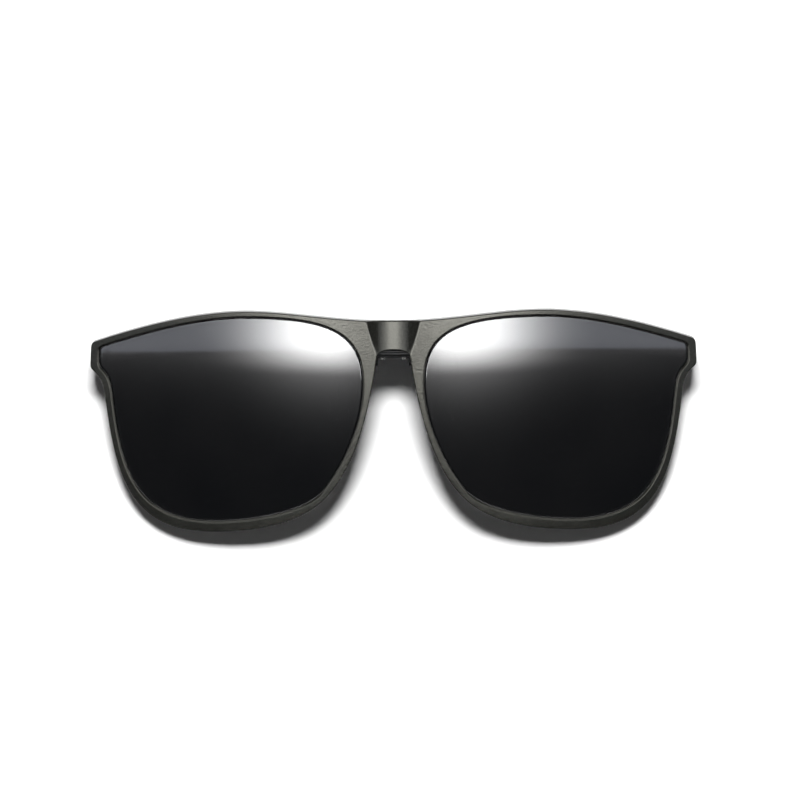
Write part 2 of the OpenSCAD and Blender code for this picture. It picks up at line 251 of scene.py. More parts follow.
def sheet_outline(path, half):
    """Outline of a bent sheet seen on edge, along a path of (u, v, share of thickness)."""
    left, right = [], []
    for i, p in enumerate(path):
        a = Vector(path[max(i - 1, 0)][:2])
        b = Vector(path[min(i + 1, len(path) - 1)][:2])
        d = (b - a).normalized()
        n = Vector((-d.y, d.x)) * half * p[2]
        left.append((p[0] + n.x, p[1] + n.y))
        right.append((p[0] - n.x, p[1] - n.y))
    return left + right[::-1]


def revolve(name, profile, origin, axis, sides=40):
    """A solid of revolution from (radius, distance along the axis) points, pole to pole."""
    shell = Shell()
    turn = Vector((0, 0, 1)).rotation_difference(Vector(axis)).to_matrix()
    origin = Vector(origin)
    rings = []
    for r, s in profile[1:-1]:
        rings.append([origin + turn @ Vector((r * math.cos(a), r * math.sin(a), s))
                      for a in (2 * math.pi * k / sides for k in range(sides))])
    made = shell.loft(rings)
    shell.pole(made[0], origin + turn @ Vector((0, 0, profile[0][1])))
    shell.pole(made[-1], origin + turn @ Vector((0, 0, profile[-1][1])))
    return to_object(name, shell)


def tube(name, path, r, sides=20, round_ends=True):
    """A round wire along a path, with hemispherical ends."""
    points = [Vector(p) for p in path]
    first = (points[1] - points[0]).normalized()
    side = first.orthogonal().normalized()
    rings = []
    centres = []
    before = first
    for i, p in enumerate(points):
        after = (points[min(i + 1, len(points) - 1)] - points[max(i - 1, 0)]).normalized()
        side = before.rotation_difference(after) @ side
        before = after
        centres.append((p, after, side.copy(), r))
    if round_ends:
        caps = [math.radians(a) for a in (75, 55, 35, 15)]
        p, d, s, _ = centres[0]
        head = [(p - d * r * math.sin(a), d, s, r * math.cos(a)) for a in caps]
        p, d, s, _ = centres[-1]
        tail = [(p + d * r * math.sin(a), d, s, r * math.cos(a)) for a in reversed(caps)]
        centres = head + centres + tail
    for p, d, s, radius in centres:
        t = d.cross(s)
        rings.append([p + (s * math.cos(a) + t * math.sin(a)) * radius
                      for a in (2 * math.pi * k / sides for k in range(sides))])
    shell = Shell()
    made = shell.loft(rings)
    ends = r if round_ends else 0
    shell.pole(made[0], points[0] - centres[0][1] * ends)
    shell.pole(made[-1], points[-1] + centres[-1][1] * ends)
    return to_object(name, shell)


# ---- Materials ----
NOISE_LOW = 0.3  # the usual range of a noise texture's values
NOISE_HIGH = 0.7


def new_material(name, base, roughness, **settings):
    """A Principled material with the given sockets, and its nodes, links and shader."""
    mat = bpy.data.materials.new(name)
    mat.use_nodes = True
    nodes, links = mat.node_tree.nodes, mat.node_tree.links
    shader = nodes["Principled BSDF"]
    shader.inputs["Base Color"].default_value = (*base, 1)
    shader.inputs["Roughness"].default_value = roughness
    for socket, value in settings.items():
        shader.inputs[socket.replace("_", " ")].default_value = value
    mat.diffuse_color = (*base, 1)
    return mat, nodes, links, shader


def noise(nodes, links, scale, detail=2.0, stretch=(1, 1, 1)):
    """Noise in the object's own frame; scale is in turns per metre."""
    place = nodes.new("ShaderNodeTexCoord")
    mapping = nodes.new("ShaderNodeMapping")
    mapping.inputs["Scale"].default_value = stretch
    links.new(place.outputs["Object"], mapping.inputs["Vector"])
    texture = nodes.new("ShaderNodeTexNoise")
    texture.inputs["Scale"].default_value = scale
    texture.inputs["Detail"].default_value = detail
    links.new(mapping.outputs["Vector"], texture.inputs["Vector"])
    return texture.outputs["Fac"]


def spread(nodes, links, value, low, high, socket):
    """Links a 0..1 value to a socket, mapped onto low..high about its usual middle range."""
    ramp = nodes.new("ShaderNodeMapRange")
    ramp.inputs["From Min"].default_value = NOISE_LOW
    ramp.inputs["From Max"].default_value = NOISE_HIGH
    ramp.inputs["To Min"].default_value = low
    ramp.inputs["To Max"].default_value = high
    links.new(value, ramp.inputs["Value"])
    links.new(ramp.outputs["Result"], socket)


def mottle(nodes, links, value, dark, light, socket):
    """Links a 0..1 value to a colour socket, between two colours."""
    ramp = nodes.new("ShaderNodeValToRGB")
    ramp.color_ramp.elements[0].position = NOISE_LOW
    ramp.color_ramp.elements[1].position = NOISE_HIGH
    ramp.color_ramp.elements[0].color = (*dark, 1)
    ramp.color_ramp.elements[1].color = (*light, 1)
    links.new(value, ramp.inputs["Fac"])
    links.new(ramp.outputs["Color"], socket)


def bump(nodes, links, value, depth, shader, before=None):
    """Adds relief of a depth in metres; returns its normal for a further layer."""
    node = nodes.new("ShaderNodeBump")
    node.inputs["Strength"].default_value = 1.0
    node.inputs["Distance"].default_value = depth
    links.new(value, node.inputs["Height"])
    if before:
        links.new(before, node.inputs["Normal"])
    links.new(node.outputs["Normal"], shader.inputs["Normal"])
    return node.outputs["Normal"]


def plastic_material():
    """Charcoal moulded plastic with a fine spark-eroded grain."""
    mat, nodes, links, shader = new_material("moulded_plastic", (0.0095, 0.0096, 0.0085), 0.16,
                                             Specular_IOR_Level=0.2, Specular_Tint=(1, 0.985, 0.88, 1))
    grain = noise(nodes, links, 2000, 4)
    cloud = noise(nodes, links, 240, 2)
    mottle(nodes, links, grain, (0.006, 0.0061, 0.0054), (0.0135, 0.0137, 0.012), shader.inputs["Base Color"])
    spread(nodes, links, cloud, 0.14, 0.18, shader.inputs["Roughness"])
    bump(nodes, links, grain, 0.00002, shader)
    return mat


def lens_material():
    """Dark grey polarised sheet: polished, with a hard coat; its tint and gloss vary very slightly across it.
    """
    mat, nodes, links, shader = new_material("polarised_lens", (0.005, 0.0053, 0.006), 0.015,
                                             IOR=1.52, Alpha=0.88)
    wave = noise(nodes, links, 60, 1)
    haze = noise(nodes, links, 900, 3)
    spread(nodes, links, haze, 0.012, 0.02, shader.inputs["Roughness"])
    mottle(nodes, links, wave, (0.0045, 0.0048, 0.0055), (0.006, 0.0062, 0.0068),
           shader.inputs["Base Color"])
    return mat


def black_steel_material():
    """Stamped steel with a satin black coating, slightly worn and uneven."""
    mat, nodes, links, shader = new_material("black_coated_steel", (0.009, 0.009, 0.0094), 0.45,
                                             Specular_IOR_Level=0.15)
    fine = noise(nodes, links, 3200, 4)
    cloud = noise(nodes, links, 500, 3)
    mottle(nodes, links, cloud, (0.006, 0.006, 0.0063), (0.013, 0.013, 0.0136), shader.inputs["Base Color"])
    spread(nodes, links, fine, 0.38, 0.55, shader.inputs["Roughness"])
    bump(nodes, links, fine, 0.000006, shader)
    return mat


def spring_steel_material():
    """Grey spring steel, drawn, so its streaks run along it."""
    mat, nodes, links, shader = new_material("grey_spring_steel", (0.5, 0.5, 0.51), 0.28, Metallic=1.0)
    streak = noise(nodes, links, 2500, 3, (1, 0.25, 0.25))
    mottle(nodes, links, streak, (0.38, 0.38, 0.39), (0.64, 0.63, 0.61), shader.inputs["Base Color"])
    spread(nodes, links, streak, 0.22, 0.38, shader.inputs["Roughness"])
    return mat


def silicone_material():
    """Clear, faintly milky silicone with a soft surface."""
    mat, nodes, links, shader = new_material("clear_silicone", (0.72, 0.75, 0.76), 0.35, IOR=1.41,
                                             Transmission_Weight=0.35)
    cloud = noise(nodes, links, 1400, 2)
    mottle(nodes, links, cloud, (0.68, 0.71, 0.72), (0.76, 0.79, 0.8), shader.inputs["Base Color"])
    spread(nodes, links, cloud, 0.3, 0.42, shader.inputs["Roughness"])
    bump(nodes, links, cloud, 0.000003, shader)
    return mat


def rubber_material():
    """Matte black rubber with moulding marks."""
    mat, nodes, links, shader = new_material("matte_rubber", (0.012, 0.012, 0.0125), 0.68,
                                             Specular_IOR_Level=0.35)
    grain = noise(nodes, links, 3600, 4)
    mottle(nodes, links, grain, (0.009, 0.009, 0.0095), (0.017, 0.017, 0.0175), shader.inputs["Base Color"])
    spread(nodes, links, grain, 0.58, 0.78, shader.inputs["Roughness"])
    bump(nodes, links, grain, 0.00002, shader)
    return mat


PLASTIC = plastic_material()
LENS = lens_material()
BLACK_STEEL = black_steel_material()
SPRING_STEEL = spring_steel_material()
SILICONE = silicone_material()
RUBBER = rubber_material()

# ---- Front: the outlines of its right-hand half as worn, as Bezier curves ----
FACE_R = 500
FRAME_DEPTH = 3.2
BRIDGE_TOP = 23.9
BRIDGE_LOW = 15.8
SCOOP_R = 12
SCOOP_TOP_HALF = 6.4
SCOOP_LOW_HALF = 3.85

OUTER = [
    [(0, 23.9), (14, 23.9), (24, 26.3), (35, 26.3)],  # brow over the bridge
    [(35, 26.3), (47, 26.3), (60, 22.8), (71.4, 18.9)],  # brow out to the tip
    [(71.4, 18.9), (72, 18.7), (72.3, 18.3), (72.4, 17.6)],  # upper corner of the tip
    [(72.4, 17.6), (72.5, 16.2), (72.6, 14.6), (72.6, 13)],  # end of the tip
    [(72.6, 13), (72.6, 12.2), (71.9, 11.8), (71.3, 11.2)],  # lower corner of the tip
    [(71.3, 11.2), (70, 10), (69.4, 8.4), (69.2, 5.5)],  # hollow under the tip
    [(69.2, 5.5), (67, -15), (63, -27), (44, -27)],  # side and lower outer corner
    [(44, -27), (34, -27), (22, -25.3), (15.6, -17.8)],  # lower edge
    [(15.6, -17.8), (8.3, -9.5), (5.4, 4.9), (3.9, 15.7)],  # nose side
    [(3.9, 15.7), (3, 16.8), (1.5, 17), (0, 17)],  # arch under the bridge
]
OPENING = [
    [(35, 24.9), (46, 24.9), (58, 21.6), (69.3, 17.9)],  # under the brow
    [(69.3, 17.9), (70, 17.7), (70.4, 17.3), (70.4, 16.7)],  # upper corner of the tip
    [(70.4, 16.7), (70.5, 15.6), (70.5, 14.5), (70.5, 13.7)],  # end of the tip
    [(70.5, 13.7), (70.5, 12.8), (69.8, 12.2), (69.2, 11.5)],  # lower corner of the tip
    [(69.2, 11.5), (68.1, 10.2), (67.6, 8.3), (67.4, 5.5)],  # hollow under the tip
    [(67.4, 5.5), (65.7, -12.5), (62.3, -24.5), (43.5, -24.5)],  # side and lower outer corner
    [(43.5, -24.5), (35, -24.5), (21.5, -22.4), (17.2, -17.2)],  # lower edge
    [(17.2, -17.2), (12.5, -11.5), (7.3, -1), (7.3, 8.8)],  # nose side
    [(7.3, 8.8), (7.3, 21), (14.5, 24.9), (35, 24.9)],  # up to the brow
]
CURVE_STEP = 0.55  # length of a step along a curve
ARCH_MID = (0, 17)


def along(chain):
    """Points along a chain of curves, without the last end point."""
    made = []
    for c in chain:
        a, b, d, e = (Vector(p) for p in c)
        length = ((b - a).length + (d - b).length + (e - d).length + (e - a).length) / 2
        steps = max(4, math.ceil(length / CURVE_STEP))
        for i in range(steps):
            t = i / steps
            made.append((1 - t) ** 3 * a + 3 * (1 - t) ** 2 * t * b + 3 * (1 - t) * t * t * d + t ** 3 * e)
    return made


def offset(ring, d):
    """A clockwise ring of points moved outwards by d along the mean normal at each point."""
    made = []
    n = len(ring)
    for i in range(n):
        a = (ring[i] - ring[i - 1]).normalized()
        b = (ring[(i + 1) % n] - ring[i]).normalized()
        normal = Vector((-a.y - b.y, a.x + b.x)).normalized()
        made.append(ring[i] + normal * d)
    return made


def mirrored(ring):
    """The same ring on the other side, still clockwise."""
    return [Vector((-p.x, p.y)) for p in reversed(ring)]


half_outline = along(OUTER)
outline = half_outline + [Vector(ARCH_MID)] + [Vector((-p.x, p.y)) for p in reversed(half_outline[1:])]
opening = along(OPENING)


def behind(x, depth):
    """Height of a surface at a depth behind the curved face."""
    return math.sqrt((FACE_R - depth) ** 2 - x * x) - FACE_R


LOW_UP = math.sqrt(SCOOP_R ** 2 - SCOOP_LOW_HALF ** 2)
TOP_UP = math.sqrt(SCOOP_R ** 2 - SCOOP_TOP_HALF ** 2)
SCOOP_TIP = math.asin((LOW_UP - TOP_UP) / (BRIDGE_TOP - BRIDGE_LOW))
CREST_SOFT = 0.05  # rounding of the crest between the scoop and the face


def scoop_axis(y):
    return LOW_UP / math.cos(SCOOP_TIP) - (y - BRIDGE_LOW) * math.tan(SCOOP_TIP)


def scoop_half(y):
    """Half the width of the scoop at a height."""
    up = scoop_axis(y) * math.cos(SCOOP_TIP)
    return math.sqrt(max(SCOOP_R ** 2 - up * up, 0))


def face(x, y):
    """Height of the front face, hollowed by the scoop across the bridge."""
    flat = behind(x, 0)
    if abs(x) >= SCOOP_R:
        return flat
    hollow = scoop_axis(y) - math.sqrt(SCOOP_R ** 2 - x * x) / math.cos(SCOOP_TIP)
    gap = flat - hollow
    if abs(gap) < 2 * CREST_SOFT:
        return min(flat, hollow) - (2 * CREST_SOFT - abs(gap)) ** 2 / (8 * CREST_SOFT)
    return min(flat, hollow)


QUARTER = [math.radians(a) for a in (0, 18, 36, 54, 72, 90)]  # steps of a quarter round
EDGE_ROUND = 0.25  # rounding of the outer edge, on the face
REAR_ROUND = 0.35
EDGE_FLAT = 0.08  # narrow flat strips that keep the face's shading flat up to its edges
CHAMFER = 0.32  # width of the chamfer round an opening, on the face
CHAMFER_SOFT = 0.06
CHAMFER_LIP = 0.03  # drop and step of the softened edges of the chamfer
CHAMFER_DEPTH = 0.3
WALL_SOFT = 0.08  # height of the softened edge between a chamfer and the wall below it
GROOVE_FRONT = 1.38  # front wall of the lens groove, behind the face
GROOVE_REAR = 2.05
GROOVE_BITE = 0.6
SCOOP_EDGE = 0.6  # the scoop's grid of points stops this far from the edges of the bridge
SCOOP_ROWS = 24
SCOOP_STEP = 0.4  # its step across the bridge
SCOOP_COLUMNS = 24  # columns to each side of the middle
CREST_LINES = (-0.2, 0, 0.2)  # lines of points along the crest
CREST_GAP = 0.12
OUTLINE_GAP = 0.25  # room between the grid and the outlines


def at_depth(ring, depth):
    return [(p.x, p.y, behind(p.x, depth)) for p in ring]


def under_face(ring, depth):
    return [(p.x, p.y, face(p.x, p.y) - depth) for p in ring]


def rear_edge(ring, side):
    """Rings of a rounded edge of the rear: side is -1 on an outer edge and 1 on an opening's."""
    return [at_depth(offset(ring, side * REAR_ROUND * (1 - math.cos(a))),
                     FRAME_DEPTH - REAR_ROUND * (1 - math.sin(a))) for a in QUARTER]


def front_shell():
    """The one-piece front: face, rounded edges, chamfers, lens grooves and rear."""
    shell = Shell()
    edge = [under_face(offset(outline, -EDGE_ROUND - EDGE_FLAT), 0)]
    edge += [under_face(offset(outline, -EDGE_ROUND * (1 - math.sin(a))), EDGE_ROUND * (1 - math.cos(a)))
             for a in QUARTER]
    rings = shell.loft(edge + rear_edge(outline, -1))
    front_loop, rear_loop = rings[0], rings[-1]
    front_holes, rear_holes = [], []
    for ring in (opening, mirrored(opening)):
        sections = [under_face(offset(ring, CHAMFER + CHAMFER_SOFT + EDGE_FLAT), 0),
                    under_face(offset(ring, CHAMFER + CHAMFER_SOFT), 0),
                    under_face(offset(ring, CHAMFER), CHAMFER_LIP),
                    at_depth(offset(ring, CHAMFER_LIP), CHAMFER_DEPTH),
                    at_depth(ring, CHAMFER_DEPTH + WALL_SOFT),
                    at_depth(ring, GROOVE_FRONT),
                    at_depth(offset(ring, GROOVE_BITE), GROOVE_FRONT),
                    at_depth(offset(ring, GROOVE_BITE), GROOVE_REAR),
                    at_depth(ring, GROOVE_REAR)]
        made = shell.loft(sections + rear_edge(ring, 1))
        front_holes.append(made[0])
        rear_holes.append(made[-1])
    span = BRIDGE_TOP - BRIDGE_LOW
    steps = [SCOOP_EDGE + span * k / SCOOP_ROWS for k in range(SCOOP_ROWS + 1)]
    heights = [BRIDGE_LOW + up for up in steps if up < span - SCOOP_EDGE]
    grid = [(x * SCOOP_STEP, y) for y in heights for x in range(-SCOOP_COLUMNS, SCOOP_COLUMNS + 1)
            if all(abs(abs(x * SCOOP_STEP) - scoop_half(y) - d) > CREST_GAP for d in CREST_LINES)]
    loops = [[shell.verts[v][:2] for v in loop] for loop in [front_loop] + front_holes]
    grid = [p for p in grid if clear_of(p, loops, OUTLINE_GAP) and inside(Vector(p), loops[0])
            and not any(inside(Vector(p), h) for h in loops[1:])]
    lines = []
    for side in (-1, 1):
        for d in CREST_LINES:
            line = [(side * (scoop_half(y) + d), y) for y in heights]
            lines.append([p for p in line if clear_of(p, loops, CREST_GAP) and inside(Vector(p), loops[0])])
    shell.fill(front_loop, front_holes, grid, lines, face)
    shell.fill(rear_loop, rear_holes, [], [], lambda x, y: behind(x, FRAME_DEPTH))
    return shell


def clear_of(p, loops, gap):
    """Whether a point is further than gap from every point of some loops."""
    return all((p[0] - q[0]) ** 2 + (p[1] - q[1]) ** 2 > gap * gap for loop in loops for q in loop)


SEAT_Z = -3.07  # face of the flat seat for the bracket
PLATE_HALF = 4.6
PLATE_LOW = 17.7
PLATE_HIGH = 23
SCREW_X = 2.4
SCREW_Y = 18.9
SCREW_R = 0.55
SCREW_BITE = 1.4
SEAT_GAP = 0.1  # room round the bracket's plate


def round_hole(name, centre, r, low, high):
    """A cutter along z for a round hole."""
    return prism(name, arc(centre, r, 0, 345, 23), "z", low, high)


def screw_holes(name, low, high):
    return [round_hole(name, (x, SCREW_Y), SCREW_R, low, high) for x in (-SCREW_X, SCREW_X)]


def rectangle(half, low, high):
    return [(-half, low), (half, low), (half, high), (-half, high)]


seat = prism("seat", rectangle(PLATE_HALF + SEAT_GAP, PLATE_LOW - SEAT_GAP, PLATE_HIGH + SEAT_GAP),
             "z", SEAT_Z - 1, SEAT_Z)
front = combine("front_frame_moulding", [to_object("front", front_shell())],
                [seat] + screw_holes("hole", SEAT_Z - 1, SEAT_Z + SCREW_BITE))
piece(front, "front", PLASTIC, ["front_frame"])

# Lenses: a plateau with a bevelled edge, and a tongue in the groove of the rim
LENS_RECESS = 0.9
LENS_T = 1.1
TONGUE = 0.55
TONGUE_FRONT = 1.43
LENS_BEVEL = 0.32
LENS_SOFT = 0.08  # softening of the lens's edges
LENS_LIP = 0.06  # width of the softened edge between its face and its bevel
LENS_FLAT = (0.7, 0.3, 0.16, 0.1)  # rings that keep the shading flat up to the bevel
LENS_GRID = 1.6


def lens_shell(ring):
    shell = Shell()
    back = LENS_RECESS + LENS_T
    sections = [at_depth(offset(ring, -LENS_BEVEL - d), LENS_RECESS) for d in LENS_FLAT]
    sections += [at_depth(offset(ring, -LENS_BEVEL - LENS_LIP / 6), LENS_RECESS + LENS_SOFT / 4),
                 at_depth(offset(ring, -LENS_BEVEL + LENS_LIP), LENS_RECESS + LENS_SOFT),
                 at_depth(offset(ring, -LENS_LIP), TONGUE_FRONT),
                 at_depth(offset(ring, TONGUE - LENS_SOFT), TONGUE_FRONT),
                 at_depth(offset(ring, TONGUE), TONGUE_FRONT + LENS_SOFT),
                 at_depth(offset(ring, TONGUE), back - LENS_SOFT),
                 at_depth(offset(ring, TONGUE - LENS_SOFT), back),
                 at_depth(offset(ring, -LENS_BEVEL), back)]
    made = shell.loft(sections)
    for loop, depth in ((made[0], LENS_RECESS), (made[-1], back)):
        flat = [shell.verts[v][:2] for v in loop]
        xs, ys = [p[0] for p in flat], [p[1] for p in flat]
        grid = []
        for i in range(math.ceil((max(xs) - min(xs)) / LENS_GRID)):
            for j in range(math.ceil((max(ys) - min(ys)) / LENS_GRID)):
                p = Vector((min(xs) + (i + 0.5) * LENS_GRID, min(ys) + (j + 0.5) * LENS_GRID))
                if inside(p, flat) and clear_of(p, [flat], LENS_GRID / 2):
                    grid.append(p)
        shell.fill(loop, [], grid, [], lambda x, y, d=depth: behind(x, d))
    return shell


for side, ring in (("left", opening), ("right", mirrored(opening))):
    lens = to_object("lens_" + side + "_polarised", lens_shell(ring))
    piece(lens, "front", LENS, ["lens_" + side])

# ---- Flip hinge ----
SHEET_T = 0.8
PIN_R = 0.6
BORE_R = 0.65
HEAD_R = 0.95
HEAD_T = 0.35
EAR_R = 1.6
BEVEL = 0.09
BRACKET_FOLD = 0.95  # outer radius of its folds
BRACKET_FAR = -9  # its ears are cut from a channel that ends here
PLATE_INSET = 0.55  # each side of the plate stands in from the folds of the ears
PLATE_CORNER_R = 0.8
HEAD_SOFT = 0.04
LEAST_FOLD = 0.15
DOME = [math.radians(a) for a in (0, 18, 36, 54, 72)]  # steps of a domed head


def hole_x(name, centre, r):
    """A cutter along x for a bore."""
    return prism(name, arc(centre, r, 0, 352.5, 47), "x", -CUT_REACH, CUT_REACH)


def u_section(half, near, far, t, fold):
    """A channel seen on end: its web between near and near + t, its flanges out to far."""
    sign = 1 if far > near else -1
    outer = rounded([(-half, far), (-half, near), (half, near), (half, far)], [0, fold, fold, 0])
    web = near + sign * t
    inner_fold = fold - t if fold > t else LEAST_FOLD
    inner = rounded([(half - t, far), (half - t, web), (-half + t, web), (-half + t, far)],
                    [0, inner_fold, inner_fold, 0])
    return outer + inner


flip = (FLIP_AT.y, FLIP_AT.z)
jaw = (JAW_AT.y, JAW_AT.z)


def hinge_bracket():
    """Folded bracket: a plate on the back of the bridge with two ears round the flip pin."""
    ear = [(flip[0] - EAR_R, SEAT_Z + MARGIN)]
    ear += arc(flip, EAR_R, 180, 360, 24)
    ear += [(flip[0] + EAR_R, SEAT_Z + MARGIN)]
    channel = prism("channel", u_section(PLATE_HALF, SEAT_Z, BRACKET_FAR, SHEET_T, BRACKET_FOLD), "y",
                    flip[0] - EAR_R, flip[0] + EAR_R)
    ears = combine("ears", [channel], keeps=[prism("keep", ear, "x", -KEEP_REACH, KEEP_REACH)])
    plate = rounded(rectangle(PLATE_HALF - PLATE_INSET, PLATE_LOW, PLATE_HIGH), PLATE_CORNER_R)
    plate = prism("plate", plate, "z", SEAT_Z - SHEET_T, SEAT_Z)
    return combine("hinge_bracket_folded", [plate, ears],
                   [hole_x("bore", flip, PIN_R)] + screw_holes("hole", SEAT_Z - 2, SEAT_Z + 1), bevel=BEVEL)


piece(hinge_bracket(), "front", BLACK_STEEL, ["hinge_bracket"])


def pin(name, half, centre):
    """A straight pin with a domed, peened head at each end."""
    upper = [(PIN_R, half), (HEAD_R - HEAD_SOFT, half)]
    upper += [(HEAD_R * math.cos(a), half + HEAD_T * math.sin(a)) for a in DOME]
    upper += [(0, half + HEAD_T)]
    lower = [(r, -s) for r, s in reversed(upper)]
    return revolve(name, lower + upper, (0, *centre), (1, 0, 0))


piece(pin("flip_pin_peened", PLATE_HALF, flip), "front", BLACK_STEEL, ["flip_pin"])

SCREW_HEAD_R = 0.95
SCREW_HEAD_T = 0.5
SLOT_W = 0.28
SLOT_D = 0.24
THREAD_R = SCREW_R - 0.02
THREAD_CORE_R = SCREW_R - 0.1
THREAD_TURNS = 6
THREAD_START = 0.25  # below the head
SCREW_POINT = 0.1  # height of the chamfer at its end


def bracket_screw(x):
    """A cheese-head screw with a slot, pointing forwards into the bridge."""
    base = SEAT_Z - SHEET_T
    top = -SCREW_HEAD_T
    crown = [(0, top), (0.45, top + 0.01), (0.78, top + 0.07), (SCREW_HEAD_R, top + 0.2),
             (SCREW_HEAD_R, -0.03), (SCREW_HEAD_R - HEAD_SOFT, 0), (THREAD_R, 0)]
    pitch = (SHEET_T + SCREW_BITE - 2 * THREAD_START) / THREAD_TURNS
    thread = []
    for k in range(THREAD_TURNS):
        thread += [(THREAD_CORE_R, THREAD_START + pitch * k), (THREAD_R, THREAD_START + pitch * (k + 0.5))]
    end = SHEET_T + SCREW_BITE - 0.05
    point = [(THREAD_CORE_R, end - SCREW_POINT), (THREAD_CORE_R - 2 * SCREW_POINT, end), (0, end)]
    body = revolve("screw", crown + thread + point, (x, SCREW_Y, base), (0, 0, 1))
    slot = prism("slot", [(x + u, v) for u, v in rectangle(2, SCREW_Y - SLOT_W / 2, SCREW_Y + SLOT_W / 2)],
                 "z", base - 1, base - SCREW_HEAD_T + SLOT_D)
    return combine("screw", [body], [slot])


screws = combine("bracket_screws_slotted", [bracket_screw(-SCREW_X), bracket_screw(SCREW_X)])
piece(screws, "front", BLACK_STEEL, ["bracket_screws"])

# ---- Clip body ----
KNUCKLE_R = 1.35
KNUCKLE_HALF = 3.5
CLIP_HALF = 4.5
CLIP_Z = FLIP_AT.z - KNUCKLE_R  # rear face of the clip body's plate
WIDE_TOP = 18.9
CURL = (15.5, -5.3)  # rolled lower edge that holds the front wires
CURL_R = 0.9
WIRE_R = 0.5
RIVET_Y = 18.1
RIVET_R = 0.5
CLIP_LOW = 16.2
EAR_LOW = JAW_AT.y - 2.6
STAMPED_BEVEL = BEVEL * 0.8
KNUCKLE_THIN = 0.87  # share of the sheet's thickness that is left in the knuckle
CURL_THIN = 0.6  # and in a rolled edge
CLIP_FOLD = 0.7


def clip_body():
    """Stamped clip body: knuckle, plate, two ears and the rolled edge for the front wires."""
    mid = CLIP_Z + SHEET_T / 2
    roll = KNUCKLE_R - 0.35
    knuckle = [(*p, KNUCKLE_THIN) for p in arc(flip, roll, 180, -128, 40)]
    web = [(y, mid, 1) for y in (WIDE_TOP - 0.5, WIDE_TOP + 0.6)]
    upper = prism("upper", sheet_outline(web + knuckle, SHEET_T / 2), "x", -KNUCKLE_HALF, KNUCKLE_HALF)
    fold = [(18.6, mid, 1), (17.6, mid, 1)]
    fold += [(*p, 0.95) for p in arc((17.45, mid + 0.85), 0.85, 265, 200, 6)]
    fold += [(*p, CURL_THIN) for p in arc(CURL, CURL_R - CURL_THIN * SHEET_T / 2, 40, -285, 34)]
    lower = prism("lower", sheet_outline(fold, SHEET_T / 2), "x", -CLIP_HALF, CLIP_HALF)
    ear = [(WIDE_TOP, CLIP_Z), (WIDE_TOP, CLIP_Z + SHEET_T), (JAW_AT.y + 1, CLIP_Z + SHEET_T),
           (EAR_LOW, JAW_AT.z + 0.9), (EAR_LOW, JAW_AT.z - 0.9), (JAW_AT.y, JAW_AT.z - 1.5),
           (WIDE_TOP - 1.5, CLIP_Z)]
    channel = prism("channel", u_section(CLIP_HALF, CLIP_Z + SHEET_T, -CUT_REACH, SHEET_T, CLIP_FOLD),
                    "y", EAR_LOW - 1, WIDE_TOP)
    keep = rounded(ear, [0.1, 0.1, 0.5, 0.75, 0.75, 1.2, 0.3])
    keep = prism("keep", keep, "x", -KEEP_REACH, KEEP_REACH)
    open_web = prism("open", rectangle(CLIP_HALF - SHEET_T, EAR_LOW - 2, CLIP_LOW + 0.55),
                     "z", -CUT_REACH, CLIP_Z + SHEET_T + 0.3)
    ears = combine("ears", [combine("ears", [channel], keeps=[keep])], [open_web])
    return combine("clip_body_stamped", [ears, upper, lower],
                   [hole_x("jaw", jaw, PIN_R),
                    round_hole("rivet", (0, RIVET_Y), RIVET_R, CLIP_Z - 1, CLIP_Z + 2)],
                   bevel=STAMPED_BEVEL)


piece(clip_body(), "clip", BLACK_STEEL, ["clip_body"])

LEAF_T = 0.25
LEAF_LOW = RIVET_Y - 0.65
LEAF_HIGH = RIVET_Y + 0.75
LEAF_TOP = FLIP_AT.y + 0.8
LEAF_BEVEL = 0.04
LEAF_CORNER_R = 0.4
LEAF_GAP = 0.02  # between the fingers and the ears that they bear on
FINGER_HALF = 0.45
FINGER_X = PLATE_HALF - 0.5


def detent_leaf():
    """Flat spring with two fingers that bear on the bracket's ears."""
    mid = CLIP_Z - LEAF_T / 2
    bear = FLIP_AT.z - EAR_R - LEAF_GAP - LEAF_T / 2
    strap = prism("strap", rounded(rectangle(CLIP_HALF, LEAF_LOW, LEAF_HIGH), LEAF_CORNER_R),
                  "z", CLIP_Z - LEAF_T, CLIP_Z)
    path = [(LEAF_LOW + 0.5, mid, 1), (LEAF_HIGH - 0.1, mid, 1), (LEAF_HIGH + 0.25, mid - 0.05, 1),
            (FLIP_AT.y - 1.35, bear + 0.04, 1), (FLIP_AT.y - 1, bear, 1), (LEAF_TOP - 0.35, bear, 1),
            (LEAF_TOP, bear - 0.14, 1)]
    fingers = [prism("finger", sheet_outline(path, LEAF_T / 2), "x", x - FINGER_HALF, x + FINGER_HALF)
               for x in (-FINGER_X, FINGER_X)]
    return combine("detent_leaf_sprung", [strap] + fingers,
                   [round_hole("rivet", (0, RIVET_Y), RIVET_R, CLIP_Z - 1, CLIP_Z + 1)], bevel=LEAF_BEVEL)


piece(detent_leaf(), "clip", SPRING_STEEL, ["detent_leaf"])

RIVET_HEAD_R = 0.8
RIVET_HEAD_T = 0.3
shank = LEAF_T + SHEET_T
head = [(RIVET_HEAD_R * math.cos(a), RIVET_HEAD_T * math.sin(a)) for a in reversed(DOME)]
rivet = revolve("leaf_rivet_domed",
                [(0, -RIVET_HEAD_T)] + [(r, -s) for r, s in head] + [(RIVET_R, 0), (RIVET_R, shank)]
                + [(r, shank + s) for r, s in reversed(head)] + [(0, shank + RIVET_HEAD_T)],
                (0, RIVET_Y, CLIP_Z - LEAF_T), (0, 0, 1))
piece(rivet, "clip", BLACK_STEEL, ["leaf_rivet"])

LEVER_HALF = 5.4
JAW_PIN_HALF = LEVER_HALF + 0.1
piece(pin("jaw_pin_peened", JAW_PIN_HALF, jaw), "clip", BLACK_STEEL, ["jaw_pin"])

